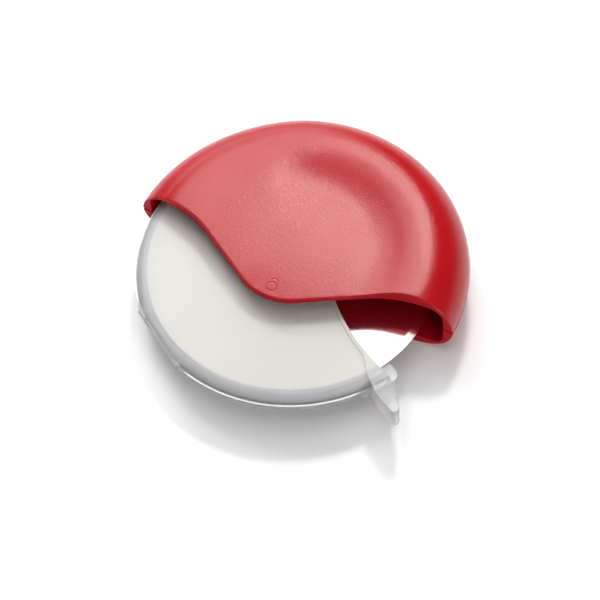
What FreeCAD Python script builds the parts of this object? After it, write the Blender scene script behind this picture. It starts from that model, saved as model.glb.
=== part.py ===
import FreeCAD, Part
import math
import os
import Sketcher

# Palm-held pastry cutter wheel, lying flat.
# Frame: origin on the blade's axis, in the plane the cutter rests on.
# +Z up along the blade's axis, -Y towards the open front, +X to the thumb tab's side.

doc = FreeCAD.newDocument("pastry_cutter_wheel")

# ---------------------------------------------------------------- driving dimensions (mm)
sheet = doc.addObject("Spreadsheet::Sheet", "dimensions")

DIMENSIONS = [
    # housing
    ("half_thick", 14.5),        # mid-plane to rest plane, and to the housing's top
    ("shell_radius", 60.6),      # outside of the housing
    ("shoulder", 14.5),          # radius of the quarter-round shoulder
    ("cavity_radius", 57.0),     # inside of the rim wall
    ("cavity_height", 10.0),     # mid-plane to the ceiling
    ("cavity_corner", 5.0),
    ("tongue_radius", 58.6),     # step in the seam between the shells
    ("tongue_height", 1.0),
    ("tongue_slack", 0.05),
    ("seam_chamfer", 0.45),
    ("lobe_radius", 20.8),       # front lobe, concentric with the blade
    ("lobe_angle", 30.0),        # half-angle where the lobe runs into its straight flanks
    ("tip_bend", 45.2),          # bend from flank to tip
    ("tip_level", -0.6),         # Y of the tips
    ("dish_radius", 46.1),       # crest around the palm dish
    ("dish_depth", 3.0),         # at its deepest edge; it runs out to nothing opposite
    ("dish_heading", 45.0),      # the deepest edge, in degrees from +X
    ("dish_edge", 7.2),          # width of the dish's curved side
    ("dish_bend", 12.0),
    ("sign_body", 2.0),          # engraved padlock sign
    ("sign_shackle", 1.4),
    ("sign_line", 0.5),
    ("sign_gap", 0.3),           # body to shackle
    ("sign_depth", 1.5),
    ("sign_x", 0.65),
    ("sign_y", -16.9),
    # pivot collars
    ("collar_radius", 12.5),
    ("collar_seat", 0.8),
    ("socket_radius", 9.08),
    ("socket_slot", 12.3),
    ("collar_low", 5.0),
    # guard
    ("guard_flange", 55.8),
    ("guard_wall_foot", 54.6),
    ("guard_height", 4.5),
    ("guard_skin", 1.3),
    ("guard_inside", 53.0),
    ("flange_height", 1.0),
    ("boss_radius", 9.0),
    ("boss_flats", 12.0),
    ("boss_height", 9.6),
    ("land_height", 2.5),
    ("hub_ring", 14.3),          # guard's skin round its boss
    ("unlock_angle", 50.0),      # boss flats line up with the collar's gap at -50 degrees
    ("edge_bend", 75.0),         # hollow curve of the front edge
    ("edge_inner_angle", -6.8),
    ("edge_outer_angle", -28.3),
    ("trail_inner_angle", 170.0),
    ("trail_outer_angle", 151.0),
    ("edge_wall", 1.3),
    ("edge_gap", 0.8),           # mid-plane to the edge wall's inner end
    ("edge_bead", 0.4),
    ("edge_wall_share", 0.955),  # share of the front edge's length that has the wall
    ("tab_rise", 0.5),
    ("tab_drop", 4.0),
    ("tab_inside", 56.0),
    ("tab_root_x", 37.3),        # thumb tab: a leaf in plan, from its root to a narrow round tip
    ("tab_root_y", -21.0),
    ("tab_tip_left_x", 56.6),
    ("tab_tip_left_y", -38.9),
    ("tab_tip_right_x", 58.1),
    ("tab_tip_right_y", -36.4),
    ("tab_left_bulge", 2.57),
    ("tab_tip_bulge", 0.75),
    ("tab_right_bulge", 2.45),
    ("flap_root_x", 38.5),       # short second lobe, on the lower half
    ("flap_root_y", -20.4),
    ("flap_end_x", 50.0),
    ("flap_end_y", -21.8),
    ("flap_heel_x", 49.4),
    ("flap_heel_y", -26.2),
    ("flap_foot_x", 40.0),
    ("flap_foot_y", -25.0),
    ("flap_top_bulge", 1.58),
    ("flap_end_bulge", 1.2),
    ("mark_radius", 2.1),        # raised ring mark
    ("mark_line", 0.6),
    ("mark_reach", 18.0),
    ("mark_angle", -40.0),
    ("mark_foot", 0.1),
    ("mark_rise", 0.3),
    ("catch_radius", 1.5),       # catch under the rim, beside the tab
    ("catch_reach", 54.5),
    ("catch_angle", -37.3),
    ("catch_drop", 3.0),
    ("hinge_angle", 238.0),
    ("hinge_reach", 53.0),
    ("hinge_length", 27.0),
    ("hinge_recess", 0.6),
    ("knuckle_radius", 1.8),
    ("knuckle_end", 4.5),
    ("knuckle_gap", 0.15),
    ("hinge_pin_radius", 0.7),
    ("hinge_pin_slack", 0.03),
    # guard bearings
    ("bush_radius", 4.6),
    ("bush_bore", 3.05),
    ("bush_top", 9.0),
    ("washer_inner", 5.2),
    ("washer_outer", 8.4),
    ("washer_low", 2.05),
    ("washer_high", 2.45),
    # blade
    ("blade_radius", 50.0),
    ("blade_half", 0.5),         # half the disc's thickness
    ("edge_half", 0.075),        # half the thickness left at the ground edge
    ("bevel", 2.6),
    ("arbor_radius", 3.0),
    ("arbor_half", 8.8),
    ("arbor_chamfer", 0.4),
    ("hub_radius", 11.0),
    ("hub_height", 2.0),
    ("hub_chamfer", 0.5),
    ("rivet_circle", 8.0),
    ("rivet_radius", 1.2),
    ("rivet_head", 2.1),
    ("rivet_head_height", 0.6),
]
for line, (name, value) in enumerate(DIMENSIONS, start=1):
    sheet.set("A%d" % line, name)
    sheet.set("B%d" % line, str(value))
    sheet.setAlias("B%d" % line, name)
doc.recompute()


def dim(name):
    """The value of one driving dimension."""
    return float(getattr(sheet, name))


HALF = dim("half_thick")
FAR = 2 * dim("shell_radius")
CLEAR = 1.0     # how far a cutting shape reaches past the material
HAIR = 0.01     # keeps a cutting face off the face it starts from


# ---------------------------------------------------------------- helpers
def amount(terms):
    """A sum of named dimensions and plain numbers, as its value and as an expression.

    Terms are names, names with a leading minus, or numbers: ("shell_radius", "-shoulder", 0.5).
    """
    value = 0.0
    text = ""
    for term in terms:
        if isinstance(term, str):
            negative = term.startswith("-")
            name = term.lstrip("-")
            value += -dim(name) if negative else dim(name)
            text += (" - " if negative else " + ") + "dimensions." + name
        else:
            value += term
            text += " + (%r)" % float(term)
    return value, text.lstrip(" +")


def bind(item, path, *terms):
    """Bind one property of an object to a sum of driving dimensions."""
    item.setExpression(path, amount(terms)[1])


def new_body(name, flipped=False):
    """A body whose own origin is on the axis at the mid-plane."""
    body = doc.addObject("PartDesign::Body", name)
    body.Label = name
    turn = FreeCAD.Rotation(FreeCAD.Vector(0, 1, 0), 180 if flipped else 0)
    body.Placement = FreeCAD.Placement(FreeCAD.Vector(0, 0, HALF), turn)
    bind(body, "Placement.Base.z", "half_thick")
    return body


def new_sketch(body, name, role="XY_Plane", offset=FreeCAD.Placement()):
    """A sketch on one of the body's own origin planes."""
    sketch = body.newObject("Sketcher::SketchObject", name)
    plane = [item for item in body.Origin.OriginFeatures if item.Role == role][0]
    sketch.AttachmentSupport = [(plane, "")]
    sketch.MapMode = "FlatFace"
    sketch.AttachmentOffset = offset
    return sketch


def draw(sketch, corners, bends={}):
    """A closed outline through corners ((x terms), (y terms)), every one bound to the sheet.

    bends[i] makes the side that leaves corner i an arc: its radius terms, and a point it passes.
    The radius terms are None where the three points settle the arc.
    """
    places = [FreeCAD.Vector(amount(x)[0], amount(y)[0], 0) for x, y in corners]
    sides = []
    for i, start in enumerate(places):
        end = places[(i + 1) % len(places)]
        if i in bends:
            middle = FreeCAD.Vector(bends[i][1][0], bends[i][1][1], 0)
            sides.append(sketch.addGeometry(Part.Arc(start, middle, end), False))
        else:
            sides.append(sketch.addGeometry(Part.LineSegment(start, end), False))

    def end_at(side, place):
        first = (sketch.getPoint(side, 1) - place).Length
        second = (sketch.getPoint(side, 2) - place).Length
        return 1 if first < second else 2

    for i, side in enumerate(sides):
        before = sides[i - 1]
        here = end_at(side, places[i])
        there = end_at(before, places[i])
        sketch.addConstraint(Sketcher.Constraint("Coincident", before, there, side, here))
        for kind, terms in (("DistanceX", corners[i][0]), ("DistanceY", corners[i][1])):
            value, text = amount(terms)
            index = sketch.addConstraint(Sketcher.Constraint(kind, side, here, value))
            if any(isinstance(term, str) for term in terms):
                sketch.setExpression("Constraints[%d]" % index, text)
    for i, (terms, _) in bends.items():
        if terms is None:
            continue
        value, text = amount(terms)
        index = sketch.addConstraint(Sketcher.Constraint("Radius", sides[i], value))
        sketch.setExpression("Constraints[%d]" % index, text)
    return sides


def circle(sketch, x, y, terms):
    """A full circle at a fixed place, its radius bound to the sheet."""
    value, text = amount(terms)
    ring = Part.Circle(FreeCAD.Vector(x, y, 0), FreeCAD.Vector(0, 0, 1), value)
    index = sketch.addGeometry(ring, False)
    sketch.addConstraint(Sketcher.Constraint("DistanceX", index, 3, x))
    sketch.addConstraint(Sketcher.Constraint("DistanceY", index, 3, y))
    radius = sketch.addConstraint(Sketcher.Constraint("Radius", index, value))
    sketch.setExpression("Constraints[%d]" % radius, text)


def level(height, turn=0.0):
    """An offset of a sketch from the body's mid-plane."""
    return FreeCAD.Placement(FreeCAD.Vector(0, 0, height),
                             FreeCAD.Rotation(FreeCAD.Vector(0, 0, 1), turn))


def turn_profile(body, name, corners, bends={}, kind="Revolution"):
    """Revolve (or groove) a half-section, given as radius and height, about the body's axis."""
    sketch = new_sketch(body, name + "_section", "XZ_Plane")
    draw(sketch, corners, bends)
    feature = body.newObject("PartDesign::" + kind, name)
    feature.Profile = sketch
    feature.ReferenceAxis = (sketch, ["V_Axis"])
    feature.Angle = 360
    return feature


def cut_outline(body, name, sketch, *length, upward=True):
    """Remove a plan outline all the way through, or over a bound length."""
    feature = body.newObject("PartDesign::Pocket", name)
    feature.Profile = sketch
    if length:
        feature.Type = "Length"
        feature.Length = amount(length)[0]
        feature.Reversed = upward
        bind(feature, "Length", *length)
    else:
        feature.Type = "ThroughAll"
        feature.Midplane = True
    return feature


def ring_pattern(body, feature, count):
    """Repeat a feature round the body's axis."""
    axis = [item for item in body.Origin.OriginFeatures if item.Role == "Z_Axis"][0]
    pattern = body.newObject("PartDesign::PolarPattern", feature.Name + "_ring")
    pattern.Originals = [feature]
    pattern.Axis = (axis, [""])
    pattern.Angle = 360
    pattern.Occurrences = count
    body.Tip = pattern
    return pattern


def polar(radius, angle):
    """A point at a radius and an angle in degrees from +X."""
    return (radius * math.cos(math.radians(angle)), radius * math.sin(math.radians(angle)))


def bulged(start, end, bulge):
    """The middle of an arc between two points that stands out to their right by a bulge."""
    chord = math.hypot(end[0] - start[0], end[1] - start[1])
    across = ((end[1] - start[1]) / chord, -(end[0] - start[0]) / chord)
    return ((start[0] + end[0]) / 2 + bulge * across[0],
            (start[1] + end[1]) / 2 + bulge * across[1])


def named_point(name):
    """A plan point whose two coordinates are driving dimensions."""
    return (dim(name + "_x"), dim(name + "_y"))


def named_corners(*names):
    """Corners for an outline, bound to the coordinates of named points."""
    return [((name + "_x",), (name + "_y",)) for name in names]


# ---------------------------------------------------------------- housing shells
def front_wave(sketch):
    """The housing's open front: a central lobe, two straight flanks and two level tips."""
    lobe = dim("lobe_radius")
    slope = math.radians(dim("lobe_angle"))
    bend = dim("tip_bend")
    level = dim("tip_level")
    lobe_x = lobe * math.sin(slope)
    lobe_y = -lobe * math.cos(slope)
    bend_low = level - bend * (1 - math.cos(slope))
    flank_x = lobe_x + (bend_low - lobe_y) / math.tan(slope)
    tip_x = flank_x + bend * math.sin(slope)
    half_slope = slope / 2
    bend_x = tip_x - bend * math.sin(half_slope)
    bend_y = level - bend * (1 - math.cos(half_slope))
    corners = [
        ((-tip_x,), ("tip_level",)),
        ((-flank_x,), (bend_low,)),
        ((-lobe_x,), (lobe_y,)),
        ((lobe_x,), (lobe_y,)),
        ((flank_x,), (bend_low,)),
        ((tip_x,), ("tip_level",)),
        ((FAR,), ("tip_level",)),
        ((FAR,), (-FAR,)),
        ((-FAR,), (-FAR,)),
        ((-FAR,), ("tip_level",)),
    ]
    bends = {
        0: (("tip_bend",), (-bend_x, bend_y)),
        2: (("lobe_radius",), (0, -lobe)),
        4: (("tip_bend",), (bend_x, bend_y)),
    }
    draw(sketch, corners, bends)


def padlock(sketch):
    """A generic padlock sign: a round body with a half-round shackle over it."""
    x, y = named_point("sign")
    circle(sketch, x, y, ("sign_body",))
    circle(sketch, x, y, ("sign_body", "-sign_line"))
    outer = dim("sign_shackle")
    inner = outer - dim("sign_line")
    foot = y + dim("sign_body") + dim("sign_gap")
    height = ("sign_y", "sign_body", "sign_gap")
    corners = [
        (("sign_x", "sign_shackle"), height),
        (("sign_x", "-sign_shackle"), height),
        (("sign_x", "-sign_shackle", "sign_line"), height),
        (("sign_x", "sign_shackle", "-sign_line"), height),
    ]
    bends = {
        0: (None, (x, foot + outer)),
        2: (None, (x, foot + inner)),
    }
    draw(sketch, corners, bends)


def shell(name, is_upper):
    """One half of the housing. The lower half is a mirror image, below the mid-plane."""
    body = new_body(name, flipped=not is_upper)
    if is_upper:
        seam = [
            ((0,), ("-tongue_height",)),
            (("tongue_radius", "-tongue_slack"), ("-tongue_height",)),
            (("tongue_radius", "-tongue_slack"), (0,)),
        ]
    else:
        seam = [
            ((0,), ("tongue_height", "tongue_slack")),
            (("tongue_radius",), ("tongue_height", "tongue_slack")),
            (("tongue_radius",), (0,)),
        ]
    rim = len(seam)
    crest = dim("shell_radius") - dim("shoulder")
    round_45 = dim("shoulder") * math.sqrt(0.5)
    bevel = dim("seam_chamfer")
    rim_x = crest + math.sqrt(dim("shoulder") ** 2 - bevel ** 2)
    outside = seam + [
        (("shell_radius", "-seam_chamfer"), (0,)),
        ((rim_x,), ("seam_chamfer",)),
        (("shell_radius", "-shoulder"), ("half_thick",)),
        ((0,), ("half_thick",)),
    ]
    turn_profile(body, name + "_outside", outside,
                 {rim + 1: (("shoulder",), (crest + round_45, round_45))})

    corner = dim("cavity_corner")
    corner_45 = corner * math.sqrt(0.5)
    wall = dim("cavity_radius")
    ceiling = dim("cavity_height")
    cavity = [
        ((0,), ("-tongue_height", -CLEAR)),
        (("cavity_radius",), ("-tongue_height", -CLEAR)),
        (("cavity_radius",), ("cavity_height", "-cavity_corner")),
        (("cavity_radius", "-cavity_corner"), ("cavity_height",)),
        ((0,), ("cavity_height",)),
    ]
    middle = (wall - corner + corner_45, ceiling - corner + corner_45)
    turn_profile(body, name + "_cavity", cavity, {2: (("cavity_corner",), middle)}, "Groove")

    # palm dish: a shallow round-edged bowl, tilted so that it is deepest at the back right
    tilt = math.degrees(math.atan(dim("dish_depth") / (2 * dim("dish_radius"))))
    turn = (dim("dish_heading") - 90) * (1 if is_upper else -1)
    lean = FreeCAD.Placement(
        FreeCAD.Vector(),
        FreeCAD.Rotation(FreeCAD.Vector(0, 1, 0), turn)
        * FreeCAD.Rotation(FreeCAD.Vector(1, 0, 0), -tilt))
    sketch = new_sketch(body, name + "_dish_section", "XZ_Plane", lean)
    floor = dim("half_thick") - dim("dish_depth") / 2
    flat = dim("dish_radius") - dim("dish_edge")
    bend = dim("dish_bend")
    bowl = [
        ((0,), (floor,)),
        (("dish_radius", "-dish_edge"), (floor,)),
        (("dish_radius", "-dish_edge", "dish_bend"), (floor, "dish_bend")),
        ((0,), (floor, "dish_bend")),
    ]
    middle = (flat + bend * math.sqrt(0.5), floor + bend * (1 - math.sqrt(0.5)))
    draw(sketch, bowl, {1: (("dish_bend",), middle)})
    dish = body.newObject("PartDesign::Groove", name + "_dish")
    dish.Profile = sketch
    dish.ReferenceAxis = (sketch, ["V_Axis"])
    dish.Angle = 360

    sketch = new_sketch(body, name + "_front_outline")
    front_wave(sketch)
    cut_outline(body, name + "_front", sketch)

    # shallow seat for the pivot collar in the ceiling
    sketch = new_sketch(body, name + "_seat_outline")
    circle(sketch, 0, 0, ("collar_radius",))
    cut_outline(body, name + "_seat", sketch, "cavity_height", "collar_seat")

    if is_upper:
        sketch = new_sketch(body, name + "_sign_outline", "XY_Plane", level(HALF))
        padlock(sketch)
        cut_outline(body, name + "_sign", sketch, "sign_depth", upward=False)
    return body


def pivot_collar(name, is_upper):
    """A C-shaped socket for the guard's boss; its gap faces the open front."""
    body = new_body(name, flipped=not is_upper)
    section = [
        (("socket_radius",), ("collar_low",)),
        (("collar_radius",), ("collar_low",)),
        (("collar_radius",), ("cavity_height", "collar_seat")),
        (("socket_radius",), ("cavity_height", "collar_seat")),
    ]
    turn_profile(body, name + "_ring", section)
    half_slot = dim("socket_slot") / 2
    sketch = new_sketch(body, name + "_gap_outline")
    corners = [
        ((-half_slot,), (0,)),
        ((-half_slot,), (-FAR,)),
        ((half_slot,), (-FAR,)),
        ((half_slot,), (0,)),
    ]
    draw(sketch, corners)
    cut_outline(body, name + "_gap", sketch)
    return body


# ---------------------------------------------------------------- guard
def front_edge():
    """Ends and middle of the guard's hollow front edge, from its hub to its rim."""
    inner = polar(dim("hub_ring"), dim("edge_inner_angle"))
    outer = polar(dim("guard_flange") + CLEAR, dim("edge_outer_angle"))
    chord = math.hypot(outer[0] - inner[0], outer[1] - inner[1])
    bend = dim("edge_bend")
    bulge = bend - math.sqrt(bend ** 2 - (chord / 2) ** 2)
    return inner, bulged(inner, outer, bulge), outer


def along_edge(share, outward=0.0):
    """A point at a share of the front edge's length, moved outward from the edge's centre."""
    inner, middle, outer = front_edge()
    bend = dim("edge_bend")
    far_side = bulged(inner, outer, -1)
    near_side = bulged(inner, outer, 0)
    centre = (middle[0] + bend * (far_side[0] - near_side[0]),
              middle[1] + bend * (far_side[1] - near_side[1]))
    first = math.atan2(inner[1] - centre[1], inner[0] - centre[0])
    last = math.atan2(outer[1] - centre[1], outer[0] - centre[0])
    turn = (last - first + math.pi) % (2 * math.pi) - math.pi
    angle = first + share * turn
    return (centre[0] + (bend + outward) * math.cos(angle),
            centre[1] + (bend + outward) * math.sin(angle))


def raise_outline(body, name, sketch, is_upper, *length):
    """Pad an outline away from the mid-plane by a bound length."""
    pad = body.newObject("PartDesign::Pad", name)
    pad.Profile = sketch
    pad.Length = amount(length)[0]
    pad.Reversed = not is_upper
    bind(pad, "Length", *length)
    return pad


def rod(body, name, kind, start, length, *radius):
    """A cylinder along the clamshell hinge, from start to start + length, both from its middle."""
    angle = dim("hinge_angle")
    foot = polar(dim("hinge_reach"), angle)
    tangent = FreeCAD.Vector(*polar(1, angle + 90), 0)
    cylinder = body.newObject("PartDesign::" + kind, name)
    cylinder.Height = length
    bind(cylinder, "Radius", *radius)
    cylinder.Placement = FreeCAD.Placement(
        FreeCAD.Vector(foot[0], foot[1], 0) + tangent * start,
        FreeCAD.Rotation(FreeCAD.Vector(0, 0, 1), tangent))
    return cylinder


def tab_outline(sketch):
    """The thumb tab in plan: a leaf that starts at the front edge and ends in a small round."""
    root = named_point("tab_root")
    left = named_point("tab_tip_left")
    right = named_point("tab_tip_right")
    bends = {
        0: (None, bulged(root, left, dim("tab_left_bulge"))),
        1: (None, bulged(left, right, dim("tab_tip_bulge"))),
        2: (None, bulged(right, root, dim("tab_right_bulge"))),
    }
    draw(sketch, named_corners("tab_root", "tab_tip_left", "tab_tip_right"), bends)


def flap_outline(sketch):
    """The lower half's short lobe in plan."""
    root = named_point("flap_root")
    end = named_point("flap_end")
    heel = named_point("flap_heel")
    bends = {
        0: (None, bulged(root, end, -dim("flap_top_bulge"))),
        1: (None, bulged(end, heel, -dim("flap_end_bulge"))),
    }
    draw(sketch, named_corners("flap_root", "flap_end", "flap_heel", "flap_foot"), bends)


def guard(name, is_upper):
    """One half of the clamshell guard: a thin shallow dish, cut to a little over half a disc."""
    side = 1 if is_upper else -1
    body = doc.addObject("PartDesign::Body", name)
    body.Label = name
    body.Placement = FreeCAD.Placement(FreeCAD.Vector(0, 0, HALF), FreeCAD.Rotation())
    bind(body, "Placement.Base.z", "half_thick")

    def up(*terms):
        """Heights are the same on both halves, but counted away from the mid-plane."""
        if is_upper:
            return terms
        turned = []
        for term in terms:
            if isinstance(term, str):
                turned.append(term[1:] if term.startswith("-") else "-" + term)
            else:
                turned.append(-term)
        return tuple(turned)

    if is_upper:
        # thumb tab: full depth outside the rim, and only above the blade inside it
        sketch = new_sketch(body, name + "_tab_outline", "XY_Plane", level(-dim("tab_drop")))
        tab_outline(sketch)
        raise_outline(body, name + "_tab", sketch, True, "tab_drop", "guard_height", "tab_rise")
        doc.recompute()
        under = [
            ((0,), ("-tab_drop", -CLEAR)),
            (("tab_inside",), ("-tab_drop", -CLEAR)),
            (("tab_inside",), ("edge_gap",)),
            ((0,), ("edge_gap",)),
        ]
        turn_profile(body, name + "_tab_clearance", under, {}, "Groove")

    wall = dim("guard_wall_foot")
    outer_round = dim("guard_height") - dim("flange_height")
    inner_round = outer_round - dim("guard_skin")
    foot = dim("flange_height")
    root = math.sqrt(0.5)
    section = [
        (("bush_radius",), up("land_height")),
        (("bush_radius",), up("boss_height")),
        (("boss_radius",), up("boss_height")),
        (("boss_radius",), up("guard_height")),
        (("guard_wall_foot", "-guard_height", "flange_height"), up("guard_height")),
        (("guard_wall_foot",), up("flange_height")),
        (("guard_flange",), up("flange_height")),
        (("guard_flange",), (0,)),
        (("guard_inside",), (0,)),
        (("guard_inside",), up("flange_height")),
        (("guard_inside", "-guard_height", "flange_height", "guard_skin"),
         up("guard_height", "-guard_skin")),
        (("boss_radius",), up("guard_height", "-guard_skin")),
        (("boss_radius",), up("land_height")),
    ]
    bends = {
        4: (("guard_height", "-flange_height"),
            (wall - outer_round * (1 - root), side * (foot + outer_round * root))),
        9: (("guard_height", "-flange_height", "-guard_skin"),
            (dim("guard_inside") - inner_round * (1 - root), side * (foot + inner_round * root))),
    }
    turn_profile(body, name + "_dish", section, bends)

    # everything ahead of the front edge and behind the trailing edge goes, except the hub's ring
    inner, middle, outer = front_edge()
    ring = dim("hub_ring")
    back_inner = polar(ring, dim("trail_inner_angle"))
    back_outer = polar(dim("guard_flange") + CLEAR, dim("trail_outer_angle"))
    corners = [
        ((inner[0],), (inner[1],)),
        ((outer[0],), (outer[1],)),
        ((FAR,), (outer[1],)),
        ((FAR,), (FAR,)),
        ((-FAR,), (FAR,)),
        ((-FAR,), (back_outer[1],)),
        ((back_outer[0],), (back_outer[1],)),
        ((back_inner[0],), (back_inner[1],)),
    ]
    bends = {
        0: (("edge_bend",), middle),
        7: (("hub_ring",), polar(ring, 90)),
    }
    sketch = new_sketch(body, name + "_plan")
    draw(sketch, corners, bends)
    cut_outline(body, name + "_sides", sketch)

    # the front edge is closed by a low wall with a rounded-over bead on top
    thick = dim("edge_wall")
    far = dim("edge_wall_share")
    sketch = new_sketch(body, name + "_edge_outline", "XY_Plane", level(side * dim("edge_gap")))
    corners = [((x,), (y,)) for x, y in
               (along_edge(0), along_edge(far), along_edge(far, thick), along_edge(0, thick))]
    bends = {0: (("edge_bend",), along_edge(far / 2)),
             2: (("edge_bend", "edge_wall"), along_edge(far / 2, thick))}
    draw(sketch, corners, bends)
    raise_outline(body, name + "_edge", sketch, is_upper, "guard_height", "edge_bead", "-edge_gap")

    # flats on the boss, which let it out through the collar's gap
    sketch = new_sketch(body, name + "_flats_outline", "XY_Plane",
                        level(side * (dim("guard_height") + HAIR), dim("unlock_angle")))
    flat = dim("boss_flats") / 2
    wide = dim("boss_radius") + CLEAR
    for way in (-1, 1):
        corners = [((way * flat,), (-wide,)), ((way * wide,), (-wide,)),
                   ((way * wide,), (wide,)), ((way * flat,), (wide,))]
        draw(sketch, corners)
    cut_outline(body, name + "_flats", sketch, "boss_height", upward=is_upper)

    if is_upper:
        # round mark that meets the padlock sign at the unlocking angle
        in_skin = level(dim("guard_height") - dim("mark_foot"))
        sketch = new_sketch(body, name + "_mark_outline", "XY_Plane", in_skin)
        x, y = polar(dim("mark_reach"), dim("mark_angle"))
        circle(sketch, x, y, ("mark_radius",))
        circle(sketch, x, y, ("mark_radius", "-mark_line"))
        raise_outline(body, name + "_mark", sketch, True, "mark_foot", "mark_rise")
    else:
        # short second lobe ahead of the tab, and the catch under the rim
        sketch = new_sketch(body, name + "_flap_outline", "XY_Plane", level(-dim("edge_gap")))
        flap_outline(sketch)
        raise_outline(body, name + "_flap", sketch, False, "guard_height", "-edge_gap")
        sketch = new_sketch(body, name + "_catch_outline")
        x, y = polar(dim("catch_reach"), dim("catch_angle"))
        circle(sketch, x, y, ("catch_radius",))
        raise_outline(body, name + "_catch", sketch, False, "catch_drop")

    # clamshell hinge: a straight recess in the rim, one knuckle above, two below
    half = dim("hinge_length") / 2
    end = dim("knuckle_end")
    slack = dim("knuckle_gap")
    angle = dim("hinge_angle")
    recess = body.newObject("PartDesign::SubtractiveBox", name + "_hinge_recess")
    bind(recess, "Length", "guard_flange", CLEAR, "-hinge_reach", "-hinge_recess")
    bind(recess, "Width", "hinge_length", CLEAR)
    bind(recess, "Height", "guard_height", "guard_height", 2 * CLEAR)
    place = FreeCAD.Placement(FreeCAD.Vector(), FreeCAD.Rotation(FreeCAD.Vector(0, 0, 1), angle))
    recess.Placement = place * FreeCAD.Placement(
        FreeCAD.Vector(dim("hinge_reach") + dim("hinge_recess"), -half - CLEAR / 2,
                       -dim("guard_height") - CLEAR), FreeCAD.Rotation())
    if is_upper:
        for number, start in enumerate((-half, half - end)):
            rod(body, "%s_clear_%d" % (name, number), "SubtractiveCylinder",
                start - slack, end + 2 * slack, "knuckle_radius", "knuckle_gap")
        rod(body, name + "_knuckle", "AdditiveCylinder",
            -half + end + slack, 2 * (half - end - slack), "knuckle_radius")
    else:
        rod(body, name + "_clear", "SubtractiveCylinder",
            -half + end, 2 * (half - end), "knuckle_radius", "knuckle_gap")
        for number, start in enumerate((-half, half - end)):
            rod(body, "%s_knuckle_%d" % (name, number), "AdditiveCylinder",
                start, end - slack if number == 0 else end, "knuckle_radius")
    rod(body, name + "_pin_hole", "SubtractiveCylinder", -half - CLEAR, 2 * (half + CLEAR),
        "hinge_pin_radius", "hinge_pin_slack")
    return body


def hinge_pin():
    """The clamshell hinge's steel pin, lying along the rim's straight recess."""
    angle = dim("hinge_angle")
    foot = polar(dim("hinge_reach"), angle)
    tangent = FreeCAD.Vector(*polar(1, angle + 90), 0)
    pin = doc.addObject("Part::Cylinder", "guard_hinge_pin")
    bind(pin, "Radius", "hinge_pin_radius")
    bind(pin, "Height", "hinge_length")
    pin.Placement = FreeCAD.Placement(
        FreeCAD.Vector(foot[0], foot[1], HALF) - tangent * (dim("hinge_length") / 2),
        FreeCAD.Rotation(FreeCAD.Vector(0, 0, 1), tangent))
    return pin


# ---------------------------------------------------------------- wheel and its bearings
def turned(name, section, flipped=False):
    """A plain turned piece."""
    body = new_body(name, flipped)
    turn_profile(body, name + "_turned", section)
    return body


def rivet_holes(body, name, low, radius, *length):
    """Three holes on the rivet circle, up from a height."""
    sketch = new_sketch(body, name + "_outline", "XY_Plane", level(low))
    circle(sketch, dim("rivet_circle"), 0, (radius,))
    holes = cut_outline(body, name, sketch, *length)
    doc.recompute()
    return ring_pattern(body, holes, 3)


def blade_disc():
    """The cutting wheel: a thin disc ground to an edge from both sides."""
    section = [
        (("arbor_radius",), ("-blade_half",)),
        (("blade_radius", "-bevel"), ("-blade_half",)),
        (("blade_radius",), ("-edge_half",)),
        (("blade_radius",), ("edge_half",)),
        (("blade_radius", "-bevel"), ("blade_half",)),
        (("arbor_radius",), ("blade_half",)),
    ]
    body = turned("blade_disc", section)
    rivet_holes(body, "blade_rivet_hole", -CLEAR, "rivet_radius", 2 * CLEAR)
    return body


def hub_flange(name, is_upper):
    """A plastic disc that clamps the wheel square on its arbor, with sunk rivet heads."""
    section = [
        (("arbor_radius",), ("blade_half",)),
        (("hub_radius",), ("blade_half",)),
        (("hub_radius",), ("hub_height", "-hub_chamfer")),
        (("hub_radius", "-hub_chamfer"), ("hub_height",)),
        (("arbor_radius",), ("hub_height",)),
    ]
    body = turned(name, section, flipped=not is_upper)
    # turned over about Y, the lower flange's first hole would land opposite the upper one's
    start = 0 if is_upper else 180
    body.Placement = body.Placement * level(0, start)
    bind(body, "Placement.Base.z", "half_thick")
    rivet_holes(body, name + "_rivet_hole", 0, "rivet_radius", "hub_height", CLEAR)
    seat = dim("hub_height") - dim("rivet_head_height")
    rivet_holes(body, name + "_rivet_seat", seat, "rivet_head", "rivet_head_height", CLEAR)
    return body


def hub_rivets():
    """Three rivets through both flanges and the wheel."""
    top = dim("hub_height")
    head = dim("rivet_head_height")
    rivets = []
    for number in range(3):
        x, y = polar(dim("rivet_circle"), 120 * number)
        pieces = []
        for part_name, low, radius, height in (
                ("shank", -top, "rivet_radius", ("hub_height", "hub_height")),
                ("upper_head", top - head, "rivet_head", ("rivet_head_height",)),
                ("lower_head", -top, "rivet_head", ("rivet_head_height",))):
            piece = doc.addObject("Part::Cylinder", "rivet_%d_%s" % (number, part_name))
            bind(piece, "Radius", radius)
            bind(piece, "Height", *height)
            piece.Placement.Base = FreeCAD.Vector(x, y, HALF + low)
            pieces.append(piece)
        rivet = doc.addObject("Part::MultiFuse", "rivet_%d" % number)
        rivet.Shapes = pieces
        rivets.append(rivet)
    group = doc.addObject("Part::Compound", "hub_rivets")
    group.Links = rivets
    return group


def blade_arbor():
    """The axle that the wheel is fixed to."""
    section = [
        ((0,), ("-arbor_half",)),
        (("arbor_radius", "-arbor_chamfer"), ("-arbor_half",)),
        (("arbor_radius",), ("-arbor_half", "arbor_chamfer")),
        (("arbor_radius",), ("arbor_half", "-arbor_chamfer")),
        (("arbor_radius", "-arbor_chamfer"), ("arbor_half",)),
        ((0,), ("arbor_half",)),
    ]
    return turned("blade_arbor", section)


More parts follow.
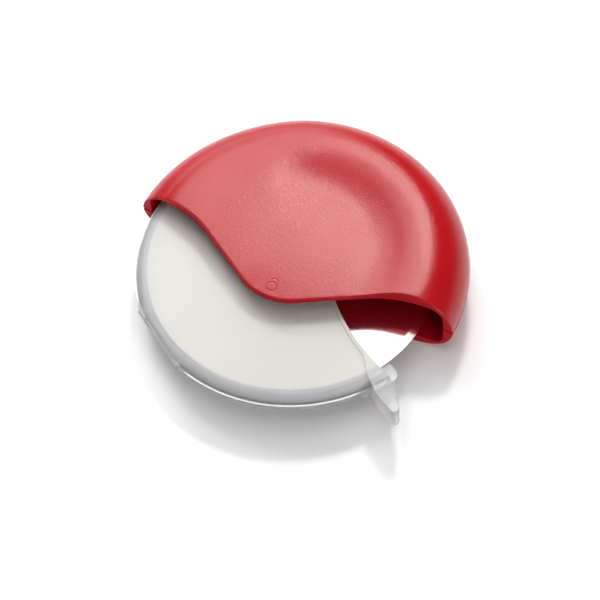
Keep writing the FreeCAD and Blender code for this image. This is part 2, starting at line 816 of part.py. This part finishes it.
def guard_bush(name, is_upper):
    """A plain sleeve bearing for the arbor, pressed into the guard's boss."""
    section = [
        (("bush_bore",), ("land_height",)),
        (("bush_radius",), ("land_height",)),
        (("bush_radius",), ("bush_top",)),
        (("bush_bore",), ("bush_top",)),
    ]
    return turned(name, section, flipped=not is_upper)


def thrust_washer(name, is_upper):
    """A thin washer between the wheel's hub and the guard."""
    section = [
        (("washer_inner",), ("washer_low",)),
        (("washer_outer",), ("washer_low",)),
        (("washer_outer",), ("washer_high",)),
        (("washer_inner",), ("washer_high",)),
    ]
    return turned(name, section, flipped=not is_upper)


pieces = [
    shell("upper_shell", True),
    shell("lower_shell", False),
    pivot_collar("pivot_collar_upper", True),
    pivot_collar("pivot_collar_lower", False),
    guard("guard_upper", True),
    guard("guard_lower", False),
    hinge_pin(),
    guard_bush("guard_bush_upper", True),
    guard_bush("guard_bush_lower", False),
    thrust_washer("thrust_washer_upper", True),
    thrust_washer("thrust_washer_lower", False),
    blade_disc(),
    hub_flange("hub_flange_upper", True),
    hub_flange("hub_flange_lower", False),
    hub_rivets(),
    blade_arbor(),
]
doc.recompute()

# ---------------------------------------------------------------- checks and files
for item in doc.Objects:
    if "Invalid" in item.State or "Error" in item.State:
        raise RuntimeError("%s did not build: %s" % (item.Label, item.State))
os.makedirs("parts", exist_ok=True)
for piece in pieces:
    shape = piece.Shape
    if shape.isNull() or not shape.isValid() or not shape.Solids:
        raise RuntimeError("%s has no valid solid" % piece.Label)
    shape.exportStep("parts/%s.step" % piece.Label)
    box = shape.optimalBoundingBox(True, False)
    print("%-20s %9.1f mm3  solids %d  x %.1f %.1f  y %.1f %.1f  z %.2f %.2f" % (
        piece.Label, shape.Volume, len(shape.Solids),
        box.XMin, box.XMax, box.YMin, box.YMax, box.ZMin, box.ZMax))
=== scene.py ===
import math

import bmesh
import bpy
from mathutils import Matrix, Vector

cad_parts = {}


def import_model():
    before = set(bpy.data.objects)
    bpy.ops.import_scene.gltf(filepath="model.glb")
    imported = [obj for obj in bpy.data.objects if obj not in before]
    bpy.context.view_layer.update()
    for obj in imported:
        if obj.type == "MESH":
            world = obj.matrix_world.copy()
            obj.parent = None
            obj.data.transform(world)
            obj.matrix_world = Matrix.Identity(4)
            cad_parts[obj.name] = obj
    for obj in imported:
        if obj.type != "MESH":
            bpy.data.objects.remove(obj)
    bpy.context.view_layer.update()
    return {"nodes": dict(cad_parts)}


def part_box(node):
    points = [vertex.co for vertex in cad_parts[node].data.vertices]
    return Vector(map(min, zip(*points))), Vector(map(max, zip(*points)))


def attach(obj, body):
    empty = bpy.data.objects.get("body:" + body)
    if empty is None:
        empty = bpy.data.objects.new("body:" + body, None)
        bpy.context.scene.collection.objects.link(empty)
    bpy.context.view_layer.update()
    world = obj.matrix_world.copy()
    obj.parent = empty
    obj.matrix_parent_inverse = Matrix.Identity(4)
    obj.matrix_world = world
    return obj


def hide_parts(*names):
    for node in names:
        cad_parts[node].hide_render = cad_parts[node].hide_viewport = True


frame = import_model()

MM = 0.001

# ---------------------------------------------------------------- sizes read from the frame (mm)
low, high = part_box("upper_shell")
SHELL_R = high[0] / MM
TOP = high[2] / MM
LOBE = -low[1] / MM             # how far the lobe reaches to the front
MID = TOP / 2                   # the seam's plane
HALF = TOP - MID                # height of one shell

# ---------------------------------------------------------------- housing: form of one shell (mm)
SHOULDER = HALF                 # quarter-round shoulder
CREST_R = SHELL_R - SHOULDER    # crest around the palm dish
CAVITY_R = 57.0
CAVITY_H = 10.0
CAVITY_CORNER = 5.0
TIP_Y = -0.6                    # front edge: level tips, flanks at a slope, and a round bend between
SLOPE = math.radians(30)
TIP_BEND = 45.2
DISH_DEPTH = 4.6                # palm dish: deepest towards its heading
DISH_HEADING = math.radians(45)
DISH_GROWTH = 1.6               # power by which it deepens along the heading
DISH_WALL = 20.0                # width of the dish's curved side
DISH_MARGIN = 1.0               # between that side and the crest
DISH_FADE = (4, 40)             # radii between which the dish dies out on the left
LEFT_FALL = 1.7                 # how much the palm face drops before the left shoulder
LEFT_START = 26.0
LEFT_PAST = 4.0                 # how far past the crest it goes on dropping
LEFT_RISE = (95, 150)           # angles in degrees between which the left side's form sets in
LEFT_END = (225, 262)           # and between which it ends
FRONT_FALL = 1.5                # how much it drops towards the lobe, starting FRONT_START behind it
FRONT_START = 32.0
SEAM_BEVEL = 0.5
LIP_ROUND = 0.7

# ---------------------------------------------------------------- engraved padlock sign (mm)
SIGN_X = 0.65
SIGN_Y = -16.9
SIGN_BODY = 1.75                # radius of its ring
SIGN_SHACKLE = 1.15             # radius of the half ring
SIGN_GAP = 0.35                 # between the two
SIGN_LINE = 0.34
SIGN_FLOOR = 0.35               # share of the line's width at the groove's floor
SIGN_EDGE = 0.9                 # and at its top
SIGN_DEPTH = 0.12

# ---------------------------------------------------------------- fineness of the shell's skin
COLUMNS = 300                   # across the housing
SIGN_PATCH = 3.0                # half the width of the finer columns across the sign, in mm
SIGN_PITCH = 0.15
SIGN_MARGIN = 0.1
LIP_ROWS = 66                   # even rows at the lip
LIP_PITCH = 0.0015              # share of the way from the front edge to the seam
LIP_SHARE = 0.1                 # share at which wider rows take over, which close up at the seam
BACK_ROWS = 130
CEILING_ROWS = 36
EDGE_STEP = 0.01                # step in x used to measure the front edge's slope, in mm
SAME_PLACE = 2e-6               # points nearer than this are one point, in metres
CREASE = 38                     # degrees between faces, from where an edge is shaded sharp
GRAINED, PLAIN = 0, 1           # material slots of the skin

# ---------------------------------------------------------------- bead round the guard's flange (mm)
BEAD_REACH = 55.48
BEAD_LEVEL = 0.95
BEAD_RADIUS = 0.30
BEAD_ARCS = ((172, 222), (255, 321))    # degrees; the hinge and the tab lie between and after them
BEAD_STEP = 1.5
BEAD_SIDES = 10
BEAD_TAPER = 4                  # steps in the half wave whose rise shapes each end
BEAD_BLUNT = 0.05               # share of that half wave left out at the very end


def front_wave(x):
    """Y of the housing's open front edge at x: lobe, flanks and level tips."""
    x = abs(x)
    lobe_x = LOBE * math.sin(SLOPE)
    lobe_y = -LOBE * math.cos(SLOPE)
    bend_low = TIP_Y - TIP_BEND * (1 - math.cos(SLOPE))
    flank_x = lobe_x + (bend_low - lobe_y) / math.tan(SLOPE)
    tip_x = flank_x + TIP_BEND * math.sin(SLOPE)
    if x < lobe_x:
        return -math.sqrt(LOBE ** 2 - x ** 2)
    if x < flank_x:
        return lobe_y + (x - lobe_x) * math.tan(SLOPE)
    if x < tip_x:
        return TIP_Y - TIP_BEND + math.sqrt(TIP_BEND ** 2 - (tip_x - x) ** 2)
    return TIP_Y


def half_chord(radius, offset):
    """Half the chord of a circle at an offset from its centre."""
    return math.sqrt(max(0.0, radius ** 2 - offset ** 2))


def smooth_step(a, b, x):
    """A smooth rise from 0 at a to 1 at b, level and without curvature at both."""
    t = min(1.0, max(0.0, (x - a) / (b - a)))
    return t * t * t * (t * (6 * t - 15) + 10)


def sign_cut(x, y):
    """Depth of the engraved padlock: a ring with a half ring standing on it."""
    away = abs(math.hypot(x - SIGN_X, y - SIGN_Y) - SIGN_BODY)
    foot = SIGN_Y + SIGN_BODY + SIGN_GAP
    if y > foot:
        away = min(away, abs(math.hypot(x - SIGN_X, y - foot) - SIGN_SHACKLE))
    return SIGN_DEPTH * (1 - smooth_step(SIGN_LINE * SIGN_FLOOR, SIGN_LINE * SIGN_EDGE, away))


def shell_height(x, y):
    """Height of the shell's outside above the mid-plane."""
    r = math.hypot(x, y)
    angle = math.degrees(math.atan2(y, x)) % 360
    left = smooth_step(*LEFT_RISE, angle) * (1 - smooth_step(*LEFT_END, angle))
    shoulder = half_chord(1, max(0.0, r - CREST_R) / SHOULDER)
    # on the left the palm face rolls over early and gently, with no crest
    roll = max(0.0, min(r, CREST_R + LEFT_PAST) - LEFT_START) / (CREST_R - LEFT_START)
    ahead = max(0.0, min(1.0, (FRONT_START - LOBE - y) / FRONT_START))
    fall = LEFT_FALL * roll ** 2 * left + FRONT_FALL * ahead ** 2
    along = x * math.cos(DISH_HEADING) + y * math.sin(DISH_HEADING)
    deep = DISH_DEPTH * max(0.0, 0.5 + along / (2 * CREST_R)) ** DISH_GROWTH
    deep *= 1 - left * smooth_step(*DISH_FADE, r)
    bowl = deep * (1 - smooth_step(CREST_R - DISH_WALL, CREST_R - DISH_MARGIN, r))
    return (HALF - fall) * shoulder - bowl


def cavity_height(x, y):
    """Height of the shell's ceiling above the mid-plane."""
    over = max(0.0, math.hypot(x, y) - (CAVITY_R - CAVITY_CORNER))
    return CAVITY_H - CAVITY_CORNER + half_chord(CAVITY_CORNER, over)


def crowd(count):
    """Steps from 0 to 1 that crowd towards 1."""
    return [1 - (1 - i / count) ** 2 for i in range(count + 1)]


def new_piece(name, bm, body, replaced=()):
    """A visible piece made of a finished mesh, which moves with a body."""
    mesh = bpy.data.meshes.new(name)
    bm.normal_update()
    bm.to_mesh(mesh)
    bm.free()
    for face in mesh.polygons:
        face.use_smooth = True
    piece = bpy.data.objects.new(name, mesh)
    bpy.context.scene.collection.objects.link(piece)
    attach(piece, body)
    if replaced:
        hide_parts(*replaced)
    return piece


class Skin:
    """A housing shell's mesh while it is built; side is 1 above the mid-plane and -1 below it."""

    def __init__(self, side):
        self.side = side
        self.bm = bmesh.new()

    def point(self, x, y, z):
        return self.bm.verts.new((x * MM, y * MM, (MID + self.side * z) * MM))

    def face(self, *corners):
        """A face between corners, of which some may be the same point."""
        corners = list(dict.fromkeys(corners))
        if len(corners) > 2:
            self.bm.faces.new(corners if self.side > 0 else corners[::-1])

    def strip(self, left, right):
        """Faces between two columns of points."""
        for i in range(len(left) - 1):
            self.face(left[i], right[i], right[i + 1], left[i + 1])


def column_places():
    """X of every column: closer towards the tips and across the sign, one at each end of the cavity."""
    edge_x = half_chord(SHELL_R, TIP_Y)
    wall_x = half_chord(CAVITY_R, TIP_Y)
    across = [edge_x * math.sin(math.pi * (i / COLUMNS - 0.5)) for i in range(COLUMNS + 1)]
    sign_columns = round(2 * SIGN_PATCH / SIGN_PITCH) + 1
    sign = [SIGN_X - SIGN_PATCH + SIGN_PITCH * i for i in range(sign_columns)]
    clear = [x for x in across if abs(x - SIGN_X) > SIGN_PATCH + SIGN_MARGIN]
    return sorted(clear + sign + [-wall_x, wall_x])


def outside_columns(skin, xs, has_sign):
    """Points over the shell's outside, from the front edge back to the seam, and their faces."""
    rows = [LIP_PITCH * i for i in range(LIP_ROWS)]
    rows += [LIP_SHARE + (1 - LIP_SHARE) * t for t in crowd(BACK_ROWS)[1:]]
    outside = []
    for x in xs:
        front = front_wave(x)
        back = half_chord(SHELL_R, x)
        lean = math.atan(abs(front_wave(x + EDGE_STEP) - front) / EDGE_STEP)
        column = []
        for t in rows:
            y = front + t * (back - front)
            z = shell_height(x, y)
            # the lip is rounded over where the front edge cuts the outside
            inset = (y - front) * math.cos(lean)
            if inset < LIP_ROUND:
                z -= LIP_ROUND - half_chord(LIP_ROUND, LIP_ROUND - inset)
            if has_sign:
                z -= sign_cut(x, y)
            column.append(skin.point(x, y, max(z, SEAM_BEVEL)))
        outside.append(column)
    for left, right in zip(outside, outside[1:]):
        skin.strip(left, right)
    return outside


def ceiling_columns(skin, xs):
    """Points over the cavity's ceiling, and their faces; None where the housing's tip is solid."""
    first = xs.index(-half_chord(CAVITY_R, TIP_Y))
    inside = [None] * len(xs)
    for i in range(first, len(xs) - first):
        x = xs[i]
        front = front_wave(x)
        back = half_chord(CAVITY_R, x)
        places = [front + t * (back - front) for t in crowd(CEILING_ROWS)]
        inside[i] = [skin.point(x, y, cavity_height(x, y)) for y in places]
    for left, right in zip(inside, inside[1:]):
        if left and right:
            skin.strip(left[::-1], right[::-1])
    return inside


def cavity_span(inside):
    """The first and the last column that the cavity reaches."""
    reached = [i for i, column in enumerate(inside) if column]
    return reached[0], reached[-1]


def seam_points(skin, xs, outside, inside):
    """The bevel, the flat seam face and the cavity's wall; gives the seam's outer and inner points."""
    shrink = (SHELL_R - SEAM_BEVEL) / SHELL_R
    outer = [skin.point(x * shrink, max(TIP_Y, half_chord(SHELL_R, x) * shrink), 0) for x in xs]
    inner = [column and skin.point(x, column[-1].co.y / MM, 0) for x, column in zip(xs, inside)]
    first, last = cavity_span(inside)
    for i in range(len(xs) - 1):
        skin.face(outside[i][-1], outside[i + 1][-1], outer[i + 1], outer[i])
        if first <= i < last:
            skin.face(inner[i], inner[i + 1], inside[i + 1][-1], inside[i][-1])
        # at the solid tips the seam face closes on the cavity's corner
        near = min(max(i, first), last)
        far = min(max(i + 1, first), last)
        skin.face(outer[i], outer[i + 1], inner[far], inner[near])
    return outer, inner


def front_faces(skin, xs, outside, inside, outer, inner):
    """The front edge between the lip and the ceiling, and the C-shaped ends of the two tips."""
    first, last = cavity_span(inside)
    for i in range(first, last):
        skin.face(outside[i + 1][0], outside[i][0], inside[i][0], inside[i + 1][0])
    for tip, wall, step in ((0, first, 1), (len(xs) - 1, last, -1)):
        # the seam's bevel is carried across the tip's end
        heel = skin.point(xs[wall], TIP_Y, SEAM_BEVEL)
        for rim in (inner[wall], outer[tip]):
            rim.co.y = (TIP_Y + SEAM_BEVEL) * MM
        lip = [outside[i][0] for i in range(tip, wall + step, step)]
        skin.face(*lip, inside[wall][0], heel)
        skin.face(heel, inner[wall], outer[tip], outside[tip][0])
        skin.face(heel, *inside[wall], inner[wall])
        skin.face(*outside[tip], outer[tip])


def shell(name, node, side, has_sign):
    """One housing shell as a closed skin: outside, ceiling, seam, front edge and tips."""
    skin = Skin(side)
    xs = column_places()
    outside = outside_columns(skin, xs, has_sign)
    grained = set(skin.bm.faces)
    inside = ceiling_columns(skin, xs)
    outer, inner = seam_points(skin, xs, outside, inside)
    front_faces(skin, xs, outside, inside, outer, inner)
    for face in skin.bm.faces:
        face.material_index = GRAINED if face in grained else PLAIN
    bmesh.ops.remove_doubles(skin.bm, verts=skin.bm.verts, dist=SAME_PLACE)
    bmesh.ops.recalc_face_normals(skin.bm, faces=skin.bm.faces)
    piece = new_piece(name, skin.bm, "housing", (node,))
    mark_sharp(piece)
    return piece


def mark_sharp(piece):
    """Smooth shading with creases where faces meet at more than the crease angle."""
    bm = bmesh.new()
    bm.from_mesh(piece.data)
    for edge in bm.edges:
        edge.smooth = len(edge.link_faces) == 2 and edge.calc_face_angle() < math.radians(CREASE)
    bm.to_mesh(piece.data)
    bm.free()


def rim_bead(name, first, last):
    """A thin rolled bead along the edge of the guard's flange, between two angles in degrees."""
    steps = int((last - first) / BEAD_STEP)
    bm = bmesh.new()
    rings = []
    for i in range(steps + 1):
        angle = math.radians(first + (last - first) * i / steps)
        # the ends taper off instead of stopping square
        swell = min(0.5, min(i, steps - i) / BEAD_TAPER + BEAD_BLUNT)
        radius = BEAD_RADIUS * math.sin(math.pi * swell)
        ring = []
        for side in range(BEAD_SIDES):
            turn = math.tau * side / BEAD_SIDES
            reach = BEAD_REACH + radius * math.cos(turn)
            place = Vector((reach * math.cos(angle), reach * math.sin(angle),
                            MID + BEAD_LEVEL + radius * math.sin(turn)))
            ring.append(bm.verts.new(place * MM))
        rings.append(ring)
    for one, two in zip(rings, rings[1:]):
        for k in range(BEAD_SIDES):
            after = (k + 1) % BEAD_SIDES
            bm.faces.new((one[k], two[k], two[after], one[after]))
    bm.faces.new(rings[0])
    bm.faces.new(rings[-1][::-1])
    bmesh.ops.recalc_face_normals(bm, faces=bm.faces)
    return new_piece(name, bm, "guard")


# ---------------------------------------------------------------- materials
RIM_START = 0.0505              # from here out the guard no longer has the blade behind it, in metres
RIM_END = 0.0530
TAB_START = 0.0562              # the finger tab stands out past here
TAB_END = 0.0575


class Graph:
    """A small helper to write a node material line by line."""

    def __init__(self, name):
        self.material = bpy.data.materials.new(name)
        self.material.use_nodes = True
        self.tree = self.material.node_tree
        self.shader = self.tree.nodes["Principled BSDF"]
        self.coords = self.add("ShaderNodeTexCoord")

    def add(self, kind, **settings):
        """A new node with its settings."""
        node = self.tree.nodes.new(kind)
        for key, value in settings.items():
            setattr(node, key, value)
        return node

    def put(self, node, **values):
        """Values on a node's sockets, with an underscore for each space in a socket's name."""
        for key, value in values.items():
            node.inputs[key.replace("_", " ")].default_value = value

    def set(self, **values):
        """Values that are the same all over the surface."""
        self.put(self.shader, **values)

    def link(self, source, target):
        """Join an output to an input, or to the shader's input of that name."""
        if isinstance(target, str):
            target = self.shader.inputs[target]
        self.tree.links.new(source, target)

    def noise(self, scale, detail=2.0, roughness=0.5):
        """A noise that is fixed to the piece."""
        node = self.add("ShaderNodeTexNoise")
        self.put(node, Scale=scale, Detail=detail, Roughness=roughness)
        self.link(self.coords.outputs["Object"], node.inputs["Vector"])
        return node.outputs["Fac"]

    def radius(self):
        """Distance from the blade's axis."""
        flat = self.add("ShaderNodeVectorMath", operation="MULTIPLY")
        flat.inputs[1].default_value = (1, 1, 0)
        self.link(self.coords.outputs["Object"], flat.inputs[0])
        length = self.add("ShaderNodeVectorMath", operation="LENGTH")
        self.link(flat.outputs["Vector"], length.inputs[0])
        return length.outputs["Value"]

    def remap(self, source, low, high, to_low, to_high):
        """The source's range, low to high, carried over to another range."""
        node = self.add("ShaderNodeMapRange")
        self.put(node, From_Min=low, From_Max=high, To_Min=to_low, To_Max=to_high)
        self.link(source, node.inputs["Value"])
        return node.outputs["Result"]

    def vary(self, noise, low, high, spread=0.2):
        """A value that follows a noise, which lies within the spread on either side of a half."""
        return self.remap(noise, 0.5 - spread, 0.5 + spread, low, high)

    def maths(self, operation, *terms):
        """A Math node's value; each term is a number or an output."""
        node = self.add("ShaderNodeMath", operation=operation)
        for socket, term in zip(node.inputs, terms):
            if isinstance(term, float):
                socket.default_value = term
            else:
                self.link(term, socket)
        return node.outputs["Value"]

    def bump(self, source, strength, depth):
        """Fine relief, with its depth in metres."""
        node = self.add("ShaderNodeBump")
        self.put(node, Strength=strength, Distance=depth)
        self.link(source, node.inputs["Height"])
        self.link(node.outputs["Normal"], "Normal")

    def mix_colour(self, factor, first, second):
        """Base colour between two colours."""
        node = self.add("ShaderNodeMix", data_type="RGBA")
        node.inputs[6].default_value = (*first, 1)
        node.inputs[7].default_value = (*second, 1)
        self.link(factor, node.inputs[0])
        self.link(node.outputs[2], "Base Color")

    def ramp_colour(self, factor, *stops):
        """Base colour from a ramp with a place and a colour for each stop."""
        node = self.add("ShaderNodeValToRGB")
        elements = node.color_ramp.elements
        for place, colour in stops:
            elements.new(place).color = (*colour, 1)
        for spare in (0, -1):
            elements.remove(elements[spare])
        self.link(factor, node.inputs["Fac"])
        self.link(node.outputs["Color"], "Base Color")


def red_satin():
    """Moulded satin plastic with a fine metallic-looking grain."""
    g = Graph("shell_red_satin")
    grain = g.noise(2600, detail=1.0, roughness=0.6)
    cloud = g.noise(60)
    g.mix_colour(g.vary(cloud, 0, 1), (0.37, 0.002, 0.006), (0.40, 0.003, 0.008))
    g.link(g.vary(grain, 0.17, 0.27, spread=0.15), "Roughness")
    g.bump(grain, strength=1.0, depth=0.00009)
    g.set(Specular_IOR_Level=0.35)
    return g.material


def red_plain():
    """The same plastic where the mould has no grain: lip, seam and cavity."""
    g = Graph("shell_red_plain")
    cloud = g.noise(400, detail=3.0)
    g.mix_colour(g.vary(cloud, 0, 1), (0.41, 0.001, 0.010), (0.44, 0.002, 0.014))
    g.link(g.vary(cloud, 0.45, 0.55), "Roughness")
    g.bump(cloud, strength=0.15, depth=0.00005)
    g.set(Specular_IOR_Level=0.08)
    return g.material


def frosted_guard():
    """Frosted translucent polypropylene: milky over the blade, clearer at the rim and the tab. Its base
    colour is painted by what lies behind it: darker and warmer over the bright blade, a painted dark
    band where the blade's edge shows through, and lighter at the rim.
    """
    g = Graph("guard_frosted_pp")
    grain = g.noise(3800, roughness=0.6)
    cloud = g.noise(90)
    radius = g.radius()
    rim = g.remap(radius, RIM_START, RIM_END, 0, 1)
    tab = g.remap(radius, TAB_START, TAB_END, 0, 0.24)
    # painted shade: by radius the ramp paints a dark band where the blade's edge shows through, paints
    # the guard darker over the blade and paints it lighter at the rim
    g.ramp_colour(g.maths("MULTIPLY_ADD", cloud, 0.06, rim),
                  (0.10, (0.825, 0.81, 0.77)), (0.45, (0.64, 0.64, 0.69)), (0.80, (0.97, 0.97, 0.99)))
    g.link(g.vary(grain, 0.30, 0.40), "Roughness")
    g.bump(grain, strength=0.2, depth=0.00003)
    g.link(g.maths("ADD", g.remap(rim, 0.2, 0.8, 0.50, 0.66), tab), "Transmission Weight")
    g.set(IOR=1.35, Subsurface_Weight=0.6, Subsurface_Scale=0.004, Subsurface_Radius=(1, 1, 1))
    return g.material


def polished_blade():
    """Mirror-polished stainless steel with faint turning marks round the axis."""
    g = Graph("blade_polished")
    rings = g.add("ShaderNodeTexNoise", noise_dimensions="1D")
    g.put(rings, Scale=5000)
    g.link(g.radius(), rings.inputs["W"])
    marks = rings.outputs["Fac"]
    g.mix_colour(marks, (0.88, 0.88, 0.89), (0.91, 0.91, 0.915))
    g.link(g.vary(marks, 0.07, 0.13), "Roughness")
    g.bump(marks, strength=0.05, depth=0.00001)
    g.set(Metallic=1.0)
    return g.material


def plain_plastic(name, first, second, rough):
    """Plastic with a faint change of colour and a roughness that varies a little."""
    g = Graph(name)
    grain = g.noise(2000)
    g.mix_colour(g.vary(grain, 0, 1, spread=0.15), first, second)
    g.link(g.vary(grain, rough - 0.05, rough + 0.05), "Roughness")
    g.bump(grain, strength=0.2, depth=0.00003)
    return g.material


def turned_steel():
    """Plain steel of the axle, the rivets and the hinge pin."""
    g = Graph("turned_steel")
    marks = g.noise(1500, detail=3.0)
    g.mix_colour(marks, (0.50, 0.50, 0.51), (0.66, 0.66, 0.67))
    g.link(g.vary(marks, 0.22, 0.36), "Roughness")
    g.bump(marks, strength=0.15, depth=0.00002)
    g.set(Metallic=1.0)
    return g.material


def dress(node, material):
    """Give a CAD node its finish."""
    data = frame["nodes"][node].data
    data.materials.clear()
    data.materials.append(material)


# ---------------------------------------------------------------- visible pieces
reds = (red_satin(), red_plain())
for skin in (shell("upper_shell_skin", "upper_shell", 1, True),
             shell("lower_shell_skin", "lower_shell", -1, False)):
    for material in reds:
        skin.data.materials.append(material)

bead_plastic = plain_plastic("bead_clear_pp", (0.93, 0.93, 0.95), (0.98, 0.98, 1.0), rough=0.32)
for number, (start, stop) in enumerate(BEAD_ARCS):
    bead = rim_bead("guard_rim_bead_%d" % number, start, stop)
    bead.data.materials.append(bead_plastic)

frosted = frosted_guard()
white = plain_plastic("acetal_white", (0.78, 0.78, 0.76), (0.84, 0.84, 0.82), rough=0.4)
grey = plain_plastic("bush_grey", (0.35, 0.35, 0.37), (0.42, 0.42, 0.44), rough=0.45)
steel = turned_steel()
FINISHES = {
    "guard_upper": frosted, "guard_lower": frosted,
    "pivot_collar_upper": white, "pivot_collar_lower": white,
    "thrust_washer_upper": white, "thrust_washer_lower": white,
    "guard_bush_upper": grey, "guard_bush_lower": grey,
    "hub_flange_upper": grey, "hub_flange_lower": grey,
    "hub_rivets": steel, "blade_arbor": steel, "guard_hinge_pin": steel,
    "blade_disc": polished_blade(),
}
for node, material in FINISHES.items():
    dress(node, material)


# ---------------------------------------------------------------- floor, light, camera
# The camera stands at AZIMUTH round from the front, so the housing's chord runs down to the right.
AZIMUTH = math.radians(32.5)
ELEVATION = math.radians(57.66)
ROLL = math.radians(-5.91)
DISTANCE = 0.70                 # metres from the blade's middle
DROP = 0.01128                  # the camera stands this much lower, so the blade's middle is seen higher
ASIDE = 0.000625                # and this much to the right, so it is seen further left
LENS = 121.0
SENSOR = 36.0

FLOOR_HALF = 3.0
WORLD_LIGHT = 0.15
LIGHT_AIM = Vector((0, 0, 0.01))

# name, azimuth and elevation in degrees, distance and size in metres, watts
SOFTBOXES = (
    ("softbox_key", -150, 56, 0.60, 0.16, 0.72),
    ("softbox_ridge", -168, 44, 0.60, 0.16, 0.45),
    ("softbox_crest", 161, 55, 0.60, 0.08, 1.4),
    ("softbox_back", 176, 58, 2.0, 1.0, 3.9),
    ("softbox_back_low", -175, 27, 2.0, 1.2, 14),
    ("softbox_top", 0, 88, 2.0, 1.5, 13),
    ("softbox_front_right", 30, 22, 2.0, 1.2, 16),
    ("softbox_left", 270, 20, 2.0, 1.0, 3),
)


def toward(azimuth, elevation, distance):
    """A point seen from the origin; azimuth 0 is the camera's side."""
    a = AZIMUTH + azimuth
    return Vector((math.sin(a) * math.cos(elevation), -math.cos(a) * math.cos(elevation),
                   math.sin(elevation))) * distance


def floor():
    """A plain pale floor under the object."""
    corners = [(x * FLOOR_HALF, y * FLOOR_HALF, 0) for x, y in ((-1, -1), (1, -1), (1, 1), (-1, 1))]
    mesh = bpy.data.meshes.new("floor")
    mesh.from_pydata(corners, [], [(0, 1, 2, 3)])
    plane = bpy.data.objects.new("floor", mesh)
    bpy.context.scene.collection.objects.link(plane)
    g = Graph("floor_white")
    g.set(Base_Color=(0.95, 0.95, 0.95, 1), Roughness=0.6, Specular_IOR_Level=0.2)
    mesh.materials.append(g.material)


def softbox(name, azimuth, elevation, distance, size, power):
    """A square area light that faces the object."""
    data = bpy.data.lights.new(name, "AREA")
    data.shape = "SQUARE"
    data.size = size
    data.energy = power
    light = bpy.data.objects.new(name, data)
    light.location = toward(math.radians(azimuth), math.radians(elevation), distance)
    light.rotation_euler = (LIGHT_AIM - light.location).to_track_quat("-Z", "Y").to_euler()
    bpy.context.scene.collection.objects.link(light)


def camera():
    """The photograph's view: over the front, from the right, and slightly rolled."""
    data = bpy.data.cameras.new("camera")
    data.lens = LENS
    data.sensor_width = SENSOR
    data.clip_start = 0.05
    eye_way = toward(0, ELEVATION, 1)
    right = Vector((math.cos(AZIMUTH), math.sin(AZIMUTH), 0))
    up = eye_way.cross(right)
    middle = Vector((0, 0, MID * MM))
    turned_right = right * math.cos(ROLL) + up * math.sin(ROLL)
    turned_up = up * math.cos(ROLL) - right * math.sin(ROLL)
    matrix = Matrix((turned_right, turned_up, eye_way)).transposed().to_4x4()
    matrix.translation = middle + eye_way * DISTANCE - up * DROP + right * ASIDE
    eye = bpy.data.objects.new("camera", data)
    eye.matrix_world = matrix
    bpy.context.scene.collection.objects.link(eye)
    bpy.context.scene.camera = eye


def world():
    """Faint even light from all round, and colours shown as they are."""
    scene = bpy.context.scene
    scene.world = bpy.data.worlds.new("studio")
    scene.world.use_nodes = True
    background = scene.world.node_tree.nodes["Background"]
    background.inputs["Color"].default_value = (1, 1, 1, 1)
    background.inputs["Strength"].default_value = WORLD_LIGHT
    scene.view_settings.view_transform = "Standard"


floor()
world()
camera()
for settings in SOFTBOXES:
    softbox(*settings)
